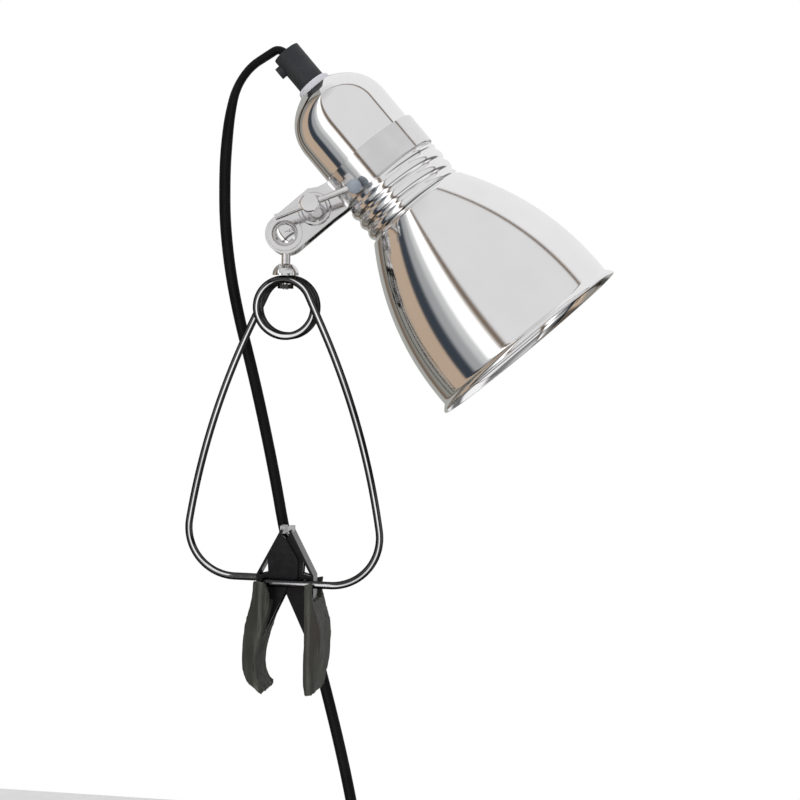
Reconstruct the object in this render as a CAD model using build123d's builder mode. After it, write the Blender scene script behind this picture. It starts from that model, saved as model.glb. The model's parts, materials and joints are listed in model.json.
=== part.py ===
from build123d import *
import os
from math import asin, atan2, cos, degrees, pi, radians, sin, tan

# Clip-on reading lamp: a polished bell head on a ball joint, held by a bent-wire
# squeeze clip with two rubber-covered jaws. Millimetres. +Z is up, +X is the side
# that the head leans to, -Y is the front. The origin is between the two grips.

# ---- clip wire -------------------------------------------------------------------
wire_radius = 1.75
coil_radius = 13.2            # to the middle of the wire
coil_gap_clearance = 0.3      # on each side of the stud's shank, between two turns
coil_full_turns = 2
clip_x = -2.3                 # the coil stands a little to one side of the jaws
coil_z = 167.2
leg_angle = 25.0              # of each leg from the vertical where it leaves the coil
hook_z = 39.7
leg_height = coil_z - hook_z
leg_straight = 0.128 * leg_height
bow_radius = 2.706 * leg_height
bow_turn = 16.0
wire_joint_gap = 0.3
hook_bend_radius = 3.0
hook_clearance = 0.10
shank_radius = 1.25           # of the stud, where it passes through the coil
coil_pitch = 2 * (wire_radius + shank_radius + coil_gap_clearance)
coil_turns = coil_full_turns + (180 - 2 * leg_angle) / 360
leg_y = coil_turns * coil_pitch / 2

# ---- jaws ------------------------------------------------------------------------
hook_x = 9.0                  # of each hook from the middle between the jaws
apex_x = 1.85
apex_z = 64.0
shoulder_x = 13.0
shoulder_z = 43.0
strip_thickness = 1.2
strip_half_width = 4.4
core_half_width = 9.0
core_top = 32.6               # below the wires, which swing past it as the jaws open
cheek_thickness = 1.0
inner_cheek_y = 1.6           # the right jaw's cheeks lie inside the left jaw's
cheek_gap = 0.6
# The side outline of a jaw's cheeks, as (outwards, up), from the apex round the outside.
cheek_outline = [
    (2.2, 62.2),
    (8.4, 50.4),
    (8.0, 44.0),
    (12.6, 42.6),
    (12.6, 34.0),
    (12.2, 24.0),
    (9.6, 14.5),
    (-1.0, 37.0),
    (-5.9, 42.0),
    (-5.9, 50.5),
    (0.2, 60.4),
]
hook_pin_past_cheek = 0.3
apex_cap_width = 2.3
apex_cap_height = 3.4
apex_cap_half_depth = 3.0
grip_wing_thickness = 3.0
grip_wing_clearance = 0.66
grip_half_width = leg_y + wire_radius + grip_wing_clearance + grip_wing_thickness
grip_throat_z = 32.0          # above this the grip is open between its two wings

# ---- ball joint ------------------------------------------------------------------
stud_y = -coil_pitch / 2      # the stud passes between the first two turns
ball_above_coil = 33.5
ball_z = coil_z + ball_above_coil
ball_radius = 7.6
ball_clearance = 0.08
stem_radius = 2.05
shank_clearance = 0.08
cup_radius = 6.1
cup_height = 5.2
cup_rim_height = 1.0
cup_top_radius = 2.8
seat_gap = 0.05
stud_nut_across_flats = 6.5
stud_nut_height = 2.0
stud_end_below_nut = 0.4
nut_clearance = 0.3
nut_thread_gap = 0.02

# ---- head placing ----------------------------------------------------------------
cap_radius = 23.5
ear_reach = 30.3              # from the cap's side to the ball's centre
arm = cap_radius + ear_reach
head_droop = 48.4             # of the head's axis below the horizontal
head_twist = 9.0              # of the ears about the head's axis, towards the right

# ---- strap -----------------------------------------------------------------------
band_start = -5.3             # along the head's axis, from the ball's level
band_end = 9.5
band_thickness = 1.6
ear_gap = 9.4                 # between the two ears
ear_thickness = 1.5
ear_half_width = 9.2
ear_root = 3.5                # of plain width outside the band, before the taper
ear_taper = 4.0
ear_root_step = 1.5
ear_inside_band = 2.0         # overlap that is cut back to the cap's own surface
socket_hole_radius = 6.0
socket_ring_radius = 8.0
socket_ring_height = 1.0
screw_from_ball = 17.6
dish_radius = 7.8
dish_height = 1.0
dish_rim = 1.6
dish_taper = 30

# ---- thumb screw -----------------------------------------------------------------
screw_radius = 2.0
screw_clearance = 0.08
barrel_radius = 3.1
screw_head_radius = 4.25
screw_head_length = 8.5
screw_head_chamfer = 0.5
screw_past_nut = 1.2
bar_in_knob = 1.5
screw_reach = 30.0            # from between the ears to the screw's flat front face
bar_radius = 1.4
bar_short_end = 17.0
knob_offset = 21.1
knob_radius = 3.3
bar_angle = 18.6
clamp_nut_across_flats = 7.0
clamp_nut_height = 3.6

# ---- socket cap, collar and gland --------------------------------------------------
cap_wall = 1.0
cap_shoulder = -25.0
cap_shoulder_radius = 14.0
cap_shoulder_turn = 50.0
cap_top_radius = 8.8
cap_skirt_end = 24.0
thread_clearance = 0.2
collar_radius = 8.2
collar_height = 2.4
gland_radius = 6.7
gland_length = 18.8
gland_hole_radius = 3.0
lug_radius = 2.9
lug_height = 2.3
lug_from_end = 5.6
lug_depth = 2.5               # of the lug inside the gland
gland_screw_radius = 1.6
nipple_radius = 4.0
nipple_bore_radius = 3.0
nipple_clearance = 0.05
nipple_in_gland = 8.0
locknut_across_flats = 12.0
locknut_height = 2.6

# ---- shade -----------------------------------------------------------------------
shade_wall = 1.0
neck_step = 0.5               # that the neck stands out from the cap
neck_radius = cap_radius + neck_step
ridge_height = 1.1
ridge_pitch = 5.9
ridge_width = 4.9
ridge_count = 3
bell_start = 29.7
bell_start_radius = neck_radius + 1.7
bell_middle = 66.4
bell_middle_radius = 42.6
bell_end = 106.8
bell_end_radius = 47.6
lip_radius = 50.0
lip_drop = 2.8

# ---- lampholder and bulb -------------------------------------------------------------
holder_radius = 18.5
holder_bore_radius = 14.6
holder_floor = -22.0
holder_mouth = 6.0
holder_top = -39.0
holder_ring_thickness = 2.4
holder_ring_height = 7.0
shell_bore_radius = 13.3
shell_thickness = 0.8
shell_length = 22.0
contact_thickness = 0.8
terminal_radius = 2.0
terminal_height = 6.8
lead_radius = 1.1
base_radius = 13.1
base_length = 24.0
glass_thickness = 0.8
globe_radius = 30.0
globe_from_mouth = 46.0

# ---- cord ------------------------------------------------------------------------
cord_diameter = 5.6
cord_length = 1800.0
cord_in_gland = 5.0
cord_bend_past_gland = 3.6
corner_share = 0.45           # of the shorter run beside a corner that its bend takes up
wound_radius = 30.0           # of the put-away coil, to the middle of its turns
wound_turns = 7
lane_clearance = 0.1          # between turns that lie side by side
tail_length = 40.0            # from the coil to the plug
tie_width = 9.0
tie_thickness = 1.2
tie_clearance = 0.3
plug_width = 35.0
plug_depth = 13.7
plug_height = 26.0
plug_corner = 5.5
plug_relief_length = 22.0
pin_radius = 2.0
pin_length = 19.0
pin_spacing = 18.6

pieces = {}


def step(base, along, distance):
    """The flat point that lies this distance from the base, along a direction."""
    return (base[0] + along[0] * distance, base[1] + along[1] * distance)


# ---- frames ----------------------------------------------------------------------
ball_centre = Vector(clip_x, stud_y, ball_z)
head_direction = Vector(cos(radians(head_droop)), 0, -sin(radians(head_droop)))
level_to_ball = Vector(-sin(radians(head_droop)), 0, -cos(radians(head_droop)))
forwards = Vector(0, -1, 0)
turn = radians(head_twist)
to_ball = level_to_ball * cos(turn) + forwards * sin(turn)
ear_normal = forwards * cos(turn) - level_to_ball * sin(turn)
head_origin = ball_centre - to_ball * arm
head_axis = Axis(head_origin, head_direction)
# A lengthwise section of the head: x is the radius towards the ball, y runs to the mouth.
section = Plane(origin=head_origin, x_dir=to_ball, z_dir=ear_normal)


def across(distance):
    """A plane square to the head's axis, at this distance towards the mouth."""
    centre = head_origin + head_direction * distance
    return Plane(origin=centre, x_dir=to_ball, z_dir=head_direction)


def turned(outline):
    """A ring or a shell turned about the head's axis from (radius, distance) points."""
    with BuildPart() as piece:
        with BuildSketch(section):
            with BuildLine():
                Polyline(*outline, close=True)
            make_face()
        revolve(axis=head_axis)
    return piece


# ---- clip wire -------------------------------------------------------------------
coil_frame = Plane(
    origin=(clip_x, -leg_y, coil_z),
    x_dir=(cos(radians(leg_angle)), 0, sin(radians(leg_angle))),
    z_dir=(0, 1, 0),
)
coil_line = coil_frame * Helix(coil_pitch, 2 * leg_y, coil_radius, lefthand=True)
with BuildPart() as spring_coil:
    with BuildSketch(Plane(coil_line @ 0, z_dir=coil_line % 0)):
        Circle(wire_radius)
    sweep(path=coil_line, is_frenet=True)
pieces["spring_coil"] = spring_coil

bow_heading = leg_angle - bow_turn
slope = radians(leg_angle)
leg_start_z = coil_z + coil_radius * sin(slope) - wire_joint_gap * cos(slope)
bow_drop = bow_radius * (sin(slope) - sin(radians(bow_heading)))
corner_z = leg_start_z - leg_straight * cos(slope) - bow_drop
corner_radius = (corner_z - hook_z) / (1 + sin(radians(bow_heading)))


def make_leg(side):
    """side is 1 for the right leg, in front, and -1 for the left leg, behind."""
    heading = (side * sin(slope), -cos(slope))
    root_point = (clip_x + side * coil_radius * cos(slope), coil_z + coil_radius * sin(slope))
    start = step(root_point, heading, wire_joint_gap)
    straight_end = step(start, heading, leg_straight)
    low_heading = (side * sin(radians(bow_heading)), -cos(radians(bow_heading)))
    bend_start = (-side * (hook_x - hook_bend_radius), -side * leg_y)
    pin_start = (-side * hook_x, -side * (leg_y - hook_bend_radius))
    pin_reach = inner_cheek_y + cheek_thickness + hook_pin_past_cheek
    if side > 0:
        pin_reach += cheek_thickness + cheek_gap
    with BuildPart() as leg:
        with BuildLine(Plane.XZ.offset(side * leg_y)) as run:
            Line(start, straight_end)
            bow = JernArc(straight_end, heading, bow_radius, -side * bow_turn)
            corner = JernArc(bow @ 1, low_heading, corner_radius, -side * (90 + bow_heading))
            Line(corner @ 1, (-side * (hook_x - hook_bend_radius), hook_z))
        with BuildSketch(Plane(run.line @ 0, z_dir=run.line % 0)):
            Circle(wire_radius)
        sweep(path=run.line)
        with BuildLine(Plane.XY.offset(hook_z)) as hook:
            bend = JernArc(bend_start, (-side, 0), hook_bend_radius, -90)
            Line(bend @ 1, (pin_start[0], side * pin_reach))
        with BuildSketch(Plane(hook.line @ 0, z_dir=hook.line % 0)):
            Circle(wire_radius)
        sweep(path=hook.line)
    return leg


pieces["leg_right"] = make_leg(1)
pieces["leg_left"] = make_leg(-1)

# ---- jaws ------------------------------------------------------------------------
# Side outlines of the two grips, from the top down the outer side, then back up.
grip_outer = {
    "right": [(15.2, 41.0), (16.2, 29.0), (18.6, 21.0), (19.2, 12.0), (18.4, 2.0), (15.8, -12.2)],
    "left": [
        (-13.4, 41.0), (-14.4, 31.0), (-16.8, 21.0), (-18.0, 10.0), (-17.6, -1.0), (-8.8, -12.8)
    ],
}
grip_inner = {
    "right": [(11.9, -12.6), (10.9, -4.0), (11.0, 8.0), (11.0, 24.0), (11.1, 40.6)],
    "left": [(-8.2, -11.2), (-11.9, -2.0), (-10.6, 10.0), (-7.0, 22.0), (-5.0, 32.0), (-8.0, 40.4)],
}
core_points = {
    "right": [(shoulder_x, core_top), (14.6, 20.0), (14.8, 4.0), (13.4, -8.0)],
    "left": [(-shoulder_x, core_top), (-12.6, 24.0), (-14.2, 8.0), (-14.4, -2.0), (-12.2, -8.0)],
}


def make_jaw(side, name, cheek_y):
    """The pressed steel jaw: a bent strip, its core in the grip, and two cheeks."""
    shoulder = (side * shoulder_x, shoulder_z)
    apex = (side * apex_x, apex_z)
    lower = core_points[name]
    with BuildPart() as jaw:
        with BuildSketch(Plane.XZ):
            with BuildLine():
                Polyline(apex, shoulder, lower[0])
            trace(line_width=strip_thickness)
        extrude(amount=strip_half_width, both=True)
        with BuildSketch(Plane.XZ):
            with BuildLine():
                Polyline(*lower)
            trace(line_width=strip_thickness)
        extrude(amount=core_half_width, both=True)
        for face_y in (cheek_y, -cheek_y - cheek_thickness):
            with BuildSketch(Plane.XZ.offset(face_y)):
                with BuildLine():
                    Polyline(*((side * outwards, up) for outwards, up in cheek_outline), close=True)
                make_face()
                with Locations((side * hook_x, hook_z)):
                    Circle(wire_radius + hook_clearance, mode=Mode.SUBTRACT)
            extrude(amount=cheek_thickness)
    return jaw


def make_grip(name, core):
    """A ribbed rubber grip moulded round the jaw's core, forked where the wires pass."""
    with BuildPart() as grip:
        with BuildSketch(Plane.XZ):
            with BuildLine():
                outer = Spline(*grip_outer[name])
                inner = Spline(*grip_inner[name])
                Line(outer @ 1, inner @ 0)
                Line(inner @ 1, outer @ 0)
            make_face()
        extrude(amount=grip_half_width, both=True)
        throat_height = apex_z - grip_throat_z
        with Locations((0, 0, grip_throat_z + throat_height / 2)):
            throat_width = 2 * (grip_half_width - grip_wing_thickness)
            Box(apex_z, throat_width, throat_height, mode=Mode.SUBTRACT)
        add(core.part, mode=Mode.SUBTRACT)
    return grip


outer_cheek_y = inner_cheek_y + cheek_thickness + cheek_gap
for name, side, cheek_y in (("right", 1, inner_cheek_y), ("left", -1, outer_cheek_y)):
    pieces["jaw_" + name] = make_jaw(side, name, cheek_y)
    pieces["grip_" + name] = make_grip(name, pieces["jaw_" + name])
    with BuildPart() as apex_cap:
        with Locations((side * apex_x, 0, apex_z)):
            Box(apex_cap_width, 2 * apex_cap_half_depth, apex_cap_height)
        add(pieces["jaw_" + name].part, mode=Mode.SUBTRACT)
    pieces["apex_cap_" + name] = apex_cap

# ---- ball stud -------------------------------------------------------------------
coil_top = coil_z + coil_radius + wire_radius
cup_top = coil_top + seat_gap + cup_height
nut_under_coil = asin(stud_nut_across_flats / 2 / coil_radius)
inside_coil_top = coil_z + (coil_radius - wire_radius) * cos(nut_under_coil)
stud_nut_top = inside_coil_top - nut_clearance
stud_end = stud_nut_top - stud_nut_height - stud_end_below_nut
stud_line = Axis((clip_x, stud_y, 0), (0, 0, 1))
stud_section = Plane(origin=(clip_x, stud_y, 0), x_dir=(1, 0, 0), z_dir=(0, -1, 0))

with BuildPart() as ball_stud:
    with BuildSketch(Plane.XY.offset(stud_end)):
        with Locations((clip_x, stud_y)):
            Circle(shank_radius)
    extrude(amount=ball_z - stud_end)
    with BuildSketch(Plane.XY.offset(cup_top + seat_gap)):
        with Locations((clip_x, stud_y)):
            Circle(stem_radius)
    extrude(amount=ball_z - cup_top - seat_gap)
    with Locations(ball_centre):
        Sphere(ball_radius)
pieces["ball_stud"] = ball_stud

with BuildPart() as stud_cup:
    cup_bottom = coil_top + seat_gap
    cup_bore = shank_radius + shank_clearance
    with BuildSketch(stud_section):
        with BuildLine():
            rim = (cup_radius, cup_bottom + cup_rim_height)
            crown = (cup_top_radius, cup_top)
            Line((cup_bore, cup_bottom), (cup_radius, cup_bottom))
            Line((cup_radius, cup_bottom), rim)
            ThreePointArc(rim, (0.8 * cup_radius, cup_bottom + 0.7 * cup_height), crown)
            Line(crown, (cup_bore, cup_top))
            Line((cup_bore, cup_top), (cup_bore, cup_bottom))
        make_face()
    revolve(axis=stud_line)
pieces["stud_cup"] = stud_cup

with BuildPart() as stud_nut:
    with BuildSketch(Plane.XY.offset(stud_nut_top - stud_nut_height)):
        with Locations((clip_x, stud_y)):
            RegularPolygon(stud_nut_across_flats / 2, 6, major_radius=False)
            Circle(shank_radius + nut_thread_gap, mode=Mode.SUBTRACT)
    extrude(amount=stud_nut_height)
pieces["stud_nut"] = stud_nut

# ---- strap: one band round the cap, with two ears that clamp the ball ------------------
ear_inner = ear_gap / 2
ear_outer = ear_inner + ear_thickness
screw_x = arm - screw_from_ball
with BuildPart() as strap:
    with BuildSketch(across(band_start)):
        Circle(cap_radius + seat_gap + band_thickness)
    extrude(amount=band_end - band_start)
    for face_y in (ear_inner, -ear_outer):
        with BuildSketch(section.offset(face_y)):
            with BuildLine():
                root_end = cap_radius + band_thickness + ear_root
                taper_end = root_end + ear_taper
                Polyline(
                    (cap_radius - ear_inside_band, band_start),
                    (root_end, band_start - ear_root_step),
                    (taper_end, -ear_half_width),
                    (arm, -ear_half_width),
                )
                ThreePointArc((arm, -ear_half_width), (arm + ear_half_width, 0), (arm, ear_half_width))
                Polyline(
                    (arm, ear_half_width),
                    (taper_end, ear_half_width),
                    (cap_radius + band_thickness + 1, band_end),
                    (cap_radius - ear_inside_band, band_end),
                    (cap_radius - ear_inside_band, band_start),
                )
            make_face()
        extrude(amount=ear_thickness)
    for face_y in (ear_outer, -ear_outer - socket_ring_height):
        with BuildSketch(section.offset(face_y)):
            with Locations((arm, 0)):
                Circle(socket_ring_radius)
        extrude(amount=socket_ring_height)
    with BuildSketch(section.offset(ear_outer)):
        with Locations((screw_x, 0)):
            Circle(dish_radius)
    extrude(amount=dish_height, taper=dish_taper)
    with BuildSketch(section.offset(ear_outer + dish_height)):
        with Locations((screw_x, 0)):
            Circle(dish_radius - dish_rim)
    extrude(amount=-dish_height, taper=dish_taper, mode=Mode.SUBTRACT)
    with BuildSketch(across(band_start - 3)):
        Circle(cap_radius + seat_gap)
    extrude(amount=band_end - band_start + 6, mode=Mode.SUBTRACT)
    with BuildSketch(section.offset(-ear_inner)):
        with Locations((cap_radius, (band_start + band_end) / 2)):
            Rectangle(12, band_end - band_start + 2)
    extrude(amount=ear_gap, mode=Mode.SUBTRACT)
    with BuildSketch(section.offset(-ear_outer - 2)):
        with Locations((arm, 0)):
            Circle(socket_hole_radius)
        with Locations((screw_x, 0)):
            Circle(screw_radius + screw_clearance)
    extrude(amount=2 * (ear_outer + 2), mode=Mode.SUBTRACT)
    with Locations(ball_centre):
        Sphere(ball_radius + ball_clearance, mode=Mode.SUBTRACT)
pieces["strap"] = strap

# ---- thumb screw, its bar and knob, and the nut behind the ears ------------------------
screw_back = ear_outer + clamp_nut_height + screw_past_nut
barrel_start = ear_outer + 0.1
bar_y = screw_reach - screw_head_length / 2
bar_heading = (-cos(radians(bar_angle)), sin(radians(bar_angle)))
bar_plane = section.offset(bar_y)
screw_point = (screw_x, 0)
bar_near = step(screw_point, bar_heading, -bar_short_end)
bar_far = step(screw_point, bar_heading, knob_offset - knob_radius + bar_in_knob)
knob_point = step(screw_point, bar_heading, knob_offset)
with BuildPart() as thumb_bar:
    with BuildLine(bar_plane) as bar_line:
        Line(bar_near, bar_far)
    with BuildSketch(Plane(bar_line.line @ 0, z_dir=bar_line.line % 0)):
        Circle(bar_radius)
    sweep(path=bar_line.line)
pieces["thumb_bar"] = thumb_bar

with BuildPart() as thumb_screw:
    for start, end, radius in (
        (-screw_back, barrel_start, screw_radius),
        (barrel_start, screw_reach - screw_head_length, barrel_radius),
        (screw_reach - screw_head_length, screw_reach, screw_head_radius),
    ):
        with BuildSketch(section.offset(start)):
            with Locations(screw_point):
                Circle(radius)
        extrude(amount=end - start)
    round_edges = thumb_screw.edges().filter_by(GeomType.CIRCLE)
    chamfer(round_edges.sort_by(Axis(ball_centre, ear_normal))[-1], screw_head_chamfer)
    add(thumb_bar.part, mode=Mode.SUBTRACT)
pieces["thumb_screw"] = thumb_screw

with BuildPart() as thumb_knob:
    with Locations(bar_plane.from_local_coords((knob_point[0], knob_point[1], 0))):
        Sphere(knob_radius)
    add(thumb_bar.part, mode=Mode.SUBTRACT)
pieces["thumb_knob"] = thumb_knob

with BuildPart() as clamp_nut:
    with BuildSketch(section.offset(-ear_outer - clamp_nut_height)):
        with Locations(screw_point):
            RegularPolygon(clamp_nut_across_flats / 2, 6, major_radius=False)
            Circle(screw_radius + screw_clearance, mode=Mode.SUBTRACT)
    extrude(amount=clamp_nut_height)
pieces["clamp_nut"] = clamp_nut

# ---- socket cap --------------------------------------------------------------------
shoulder_turn = radians(cap_shoulder_turn)
cone_start = cap_shoulder - cap_shoulder_radius * sin(shoulder_turn)
cone_start_radius = cap_radius - cap_shoulder_radius * (1 - cos(shoulder_turn))
cap_top = cone_start - (cone_start_radius - cap_top_radius) / tan(shoulder_turn)
skirt_radius = neck_radius - shade_wall - thread_clearance
nipple_hole = nipple_radius + nipple_clearance
with BuildPart() as socket_cap:
    with BuildSketch(section):
        with BuildLine():
            Line((skirt_radius, cap_skirt_end), (skirt_radius, band_end + 0.4))
            Line((skirt_radius, band_end + 0.4), (cap_radius, band_end))
            Line((cap_radius, band_end), (cap_radius, cap_shoulder))
            JernArc((cap_radius, cap_shoulder), (0, -1), cap_shoulder_radius, -cap_shoulder_turn)
            Line((cone_start_radius, cone_start), (cap_top_radius, cap_top))
            Line((cap_top_radius, cap_top), (nipple_hole, cap_top))
            offset(amount=cap_wall, side=Side.RIGHT)
        make_face()
    revolve(axis=head_axis)
pieces["socket_cap"] = socket_cap

collar_top = cap_top - collar_height
gland_end = collar_top - gland_length
pieces["cap_collar"] = turned(
    [
        (nipple_hole, cap_top),
        (collar_radius, cap_top),
        (collar_radius, collar_top + 0.8),
        (collar_radius - 0.8, collar_top),
        (nipple_hole, collar_top),
    ]
)

nipple_start = collar_top - nipple_in_gland
nipple_end = holder_top + 4.0
pieces["threaded_nipple"] = turned(
    [
        (nipple_bore_radius, nipple_start),
        (nipple_radius, nipple_start),
        (nipple_radius, nipple_end),
        (nipple_bore_radius, nipple_end),
    ]
)

with BuildPart() as cord_gland:
    with BuildSketch(across(gland_end)):
        Circle(gland_radius)
    extrude(amount=gland_length)
    lug_plane = Plane(
        origin=across(gland_end + lug_from_end).origin + to_ball * (gland_radius - lug_depth),
        x_dir=head_direction,
        z_dir=to_ball,
    )
    with BuildSketch(lug_plane):
        Circle(lug_radius)
    extrude(amount=lug_depth + lug_height)
    with BuildSketch(across(gland_end)):
        Circle(gland_hole_radius)
    extrude(amount=gland_length, mode=Mode.SUBTRACT)
    with BuildSketch(across(nipple_start)):
        Circle(nipple_hole)
    extrude(amount=nipple_in_gland, mode=Mode.SUBTRACT)
    with BuildSketch(lug_plane):
        Circle(gland_screw_radius)
    extrude(amount=lug_depth + lug_height, mode=Mode.SUBTRACT)
pieces["cord_gland"] = cord_gland

with BuildPart() as gland_screw:
    with BuildSketch(lug_plane.offset(0.2)):
        Circle(gland_screw_radius - 0.03)
    extrude(amount=1.9 + lug_height)
    with BuildSketch(lug_plane.offset(1.3 + lug_height)):
        Rectangle(3 * gland_screw_radius, 0.6)
    extrude(amount=2, mode=Mode.SUBTRACT)
pieces["gland_screw"] = gland_screw

with BuildPart() as lock_nut:
    with BuildSketch(across(cap_top + cap_wall)):
        RegularPolygon(locknut_across_flats / 2, 6, major_radius=False)
        Circle(nipple_hole, mode=Mode.SUBTRACT)
    extrude(amount=locknut_height)
pieces["lock_nut"] = lock_nut

# ---- shade -----------------------------------------------------------------------
with BuildPart() as shade:
    with BuildSketch(section):
        with BuildLine() as shade_line:
            neck_start = band_end + 0.5
            valley = ridge_pitch - ridge_width
            ridge_start = neck_start + valley
            Line((neck_radius, neck_start), (neck_radius, ridge_start))
            for ridge in range(ridge_count):
                foot = ridge_start + ridge * ridge_pitch
                top = (neck_radius + ridge_height, foot + ridge_width / 2)
                ThreePointArc((neck_radius, foot), top, (neck_radius, foot + ridge_width))
                if ridge < ridge_count - 1:
                    Line((neck_radius, foot + ridge_width), (neck_radius, foot + ridge_pitch))
            neck_end = ridge_start + (ridge_count - 1) * ridge_pitch + ridge_width
            Line((neck_radius, neck_end), (bell_start_radius, bell_start))
            ThreePointArc(
                (bell_start_radius, bell_start),
                (bell_middle_radius, bell_middle),
                (bell_end_radius, bell_end),
            )
            Line((bell_end_radius, bell_end), (lip_radius, bell_end + lip_drop))
            offset(amount=shade_wall, side=Side.LEFT)
        make_face()
    revolve(axis=head_axis)
pieces["shade"] = shade

# ---- lampholder --------------------------------------------------------------------
pieces["holder_body"] = turned(
    [
        (nipple_hole, holder_top),
        (9.0, holder_top),
        (holder_radius - 2.5, holder_top + 7),
        (holder_radius, holder_top + 11),
        (holder_radius, holder_mouth),
        (holder_bore_radius, holder_mouth),
        (holder_bore_radius, holder_floor),
        (6.5, holder_floor),
        (6.5, holder_floor - 7),
        (nipple_hole, holder_floor - 11),
    ]
)
ring_radius = holder_radius + seat_gap
pieces["holder_ring"] = turned(
    [
        (ring_radius, holder_mouth - holder_ring_height),
        (ring_radius + holder_ring_thickness, holder_mouth - holder_ring_height + 1),
        (ring_radius + holder_ring_thickness, holder_mouth + 1.4),
        (holder_bore_radius, holder_mouth + 1.4),
        (holder_bore_radius, holder_mouth + seat_gap),
        (ring_radius, holder_mouth + seat_gap),
    ]
)
shell_start = holder_floor + 1.5
pieces["screw_shell"] = turned(
    [
        (shell_bore_radius, shell_start),
        (shell_bore_radius + shell_thickness, shell_start),
        (shell_bore_radius + shell_thickness, shell_start + shell_length),
        (shell_bore_radius, shell_start + shell_length),
    ]
)
with BuildPart() as centre_contact:
    with BuildSketch(across(holder_floor)):
        Rectangle(25, 6)
    extrude(amount=contact_thickness)
    with BuildSketch(across(holder_floor + contact_thickness)):
        Circle(2.6)
    extrude(amount=0.7)
pieces["centre_contact"] = centre_contact

with BuildPart() as terminal_screws:
    with BuildSketch(across(holder_floor - terminal_height)):
        with Locations((0, 3.9), (0, -3.9)):
            Circle(terminal_radius)
    extrude(amount=terminal_height)
pieces["terminal_screws"] = terminal_screws

lead_start = gland_end + cord_in_gland + 0.3
with BuildPart() as inner_leads:
    with BuildSketch(across(lead_start)):
        with Locations((0, 1.45), (0, -1.45)):
            Circle(lead_radius)
    extrude(amount=holder_floor - terminal_height - lead_start)
pieces["inner_leads"] = inner_leads

# ---- bulb ------------------------------------------------------------------------
base_start = holder_floor + contact_thickness + 0.9
base_end = base_start + base_length
pieces["bulb_base"] = turned(
    [
        (0, base_start),
        (4.5, base_start),
        (9.5, base_start + 3.2),
        (base_radius, base_start + 4.2),
        (base_radius, base_end),
        (base_radius - 0.8, base_end),
        (base_radius - 0.8, base_start + 5),
        (0, base_start + 5),
    ]
)
glass_neck_radius = base_radius - 0.8 - seat_gap
globe_centre = holder_mouth + globe_from_mouth
globe_join = globe_centre - globe_radius * cos(radians(50))
globe_join_radius = globe_radius * sin(radians(50))
with BuildPart() as bulb_glass:
    with BuildSketch(section):
        with BuildLine():
            Line((glass_neck_radius, base_end - 4), (glass_neck_radius, base_end + 2))
            Spline(
                (glass_neck_radius, base_end + 2),
                (globe_join_radius, globe_join),
                tangents=[(0, 1), (cos(radians(50)), sin(radians(50)))],
            )
            ThreePointArc(
                (globe_join_radius, globe_join),
                (globe_radius, globe_centre),
                (globe_radius * cos(radians(45)), globe_centre + globe_radius * sin(radians(45))),
            )
            ThreePointArc(
                (globe_radius * cos(radians(45)), globe_centre + globe_radius * sin(radians(45))),
                (globe_radius * cos(radians(70)), globe_centre + globe_radius * sin(radians(70))),
                (0, globe_centre + globe_radius),
            )
            inner_radius = globe_radius - glass_thickness
            Line((0, globe_centre + globe_radius), (0, globe_centre + inner_radius))
            ThreePointArc(
                (0, globe_centre + inner_radius),
                (inner_radius * cos(radians(70)), globe_centre + inner_radius * sin(radians(70))),
                (inner_radius * cos(radians(45)), globe_centre + inner_radius * sin(radians(45))),
            )
            inner_join = globe_centre - inner_radius * cos(radians(50))
            inner_join_radius = inner_radius * sin(radians(50))
            ThreePointArc(
                (inner_radius * cos(radians(45)), globe_centre + inner_radius * sin(radians(45))),
                (inner_radius, globe_centre),
                (inner_join_radius, inner_join),
            )
            Spline(
                (inner_join_radius, inner_join),
                (glass_neck_radius - glass_thickness, base_end + 2),
                tangents=[(-cos(radians(50)), -sin(radians(50))), (0, -1)],
            )
            inside_neck = glass_neck_radius - glass_thickness
            Line((inside_neck, base_end + 2), (inside_neck, base_end - 4))
            Line((inside_neck, base_end - 4), (glass_neck_radius, base_end - 4))
        make_face()
    revolve(axis=head_axis)
pieces["bulb_glass"] = bulb_glass

# ---- cord ------------------------------------------------------------------------
cord_start = head_origin + head_direction * (gland_end + cord_in_gland)
cord_leaves = head_origin + head_direction * (gland_end - cord_bend_past_gland)
# The corners of the hanging run, from the ball's centre.
hanging_run = [
    (-20.8, 9.3, 77.3),
    (-27.6, 10.3, 67.6),
    (-30.6, 11.9, 55.8),
    (-32.6, 14.6, 44.3),
    (-34.5, 18.5, 28.3),
    (-35.9, 26.3, 1.3),
    (-32.7, 34.3, -31.7),
    (-23.3, 39.1, -69.7),
    (-13.3, 41.1, -114.7),
    (-7.3, 41.5, -146.7),
    (2.9, 41.5, -180.7),
    (13.9, 40.7, -217.7),
    (22.5, 39.7, -248.7),
    (28.7, 38.7, -274.7),
    (34.3, 38.3, -302.7),
    (38.5, 38.3, -328.7),
]
route = [tuple(cord_start), tuple(cord_leaves)]
route += [tuple(ball_centre + Vector(*offset)) for offset in hanging_run]
radii = []
for before, here, after in zip(route, route[1:], route[2:]):
    run_in = Vector(here) - Vector(before)
    run_out = Vector(after) - Vector(here)
    half_turn = radians(run_in.get_angle(run_out)) / 2
    radii.append(corner_share * min(run_in.length, run_out.length) / tan(half_turn))
with BuildPart() as cord_tube:
    with BuildLine() as cord_line:
        FilletPolyline(*route, radius=radii)
    with BuildSketch(Plane(cord_line.line @ 0, z_dir=cord_line.line % 0)):
        Circle(cord_diameter / 2)
    sweep(path=cord_line.line)
pieces["cord_tube"] = cord_tube

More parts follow.
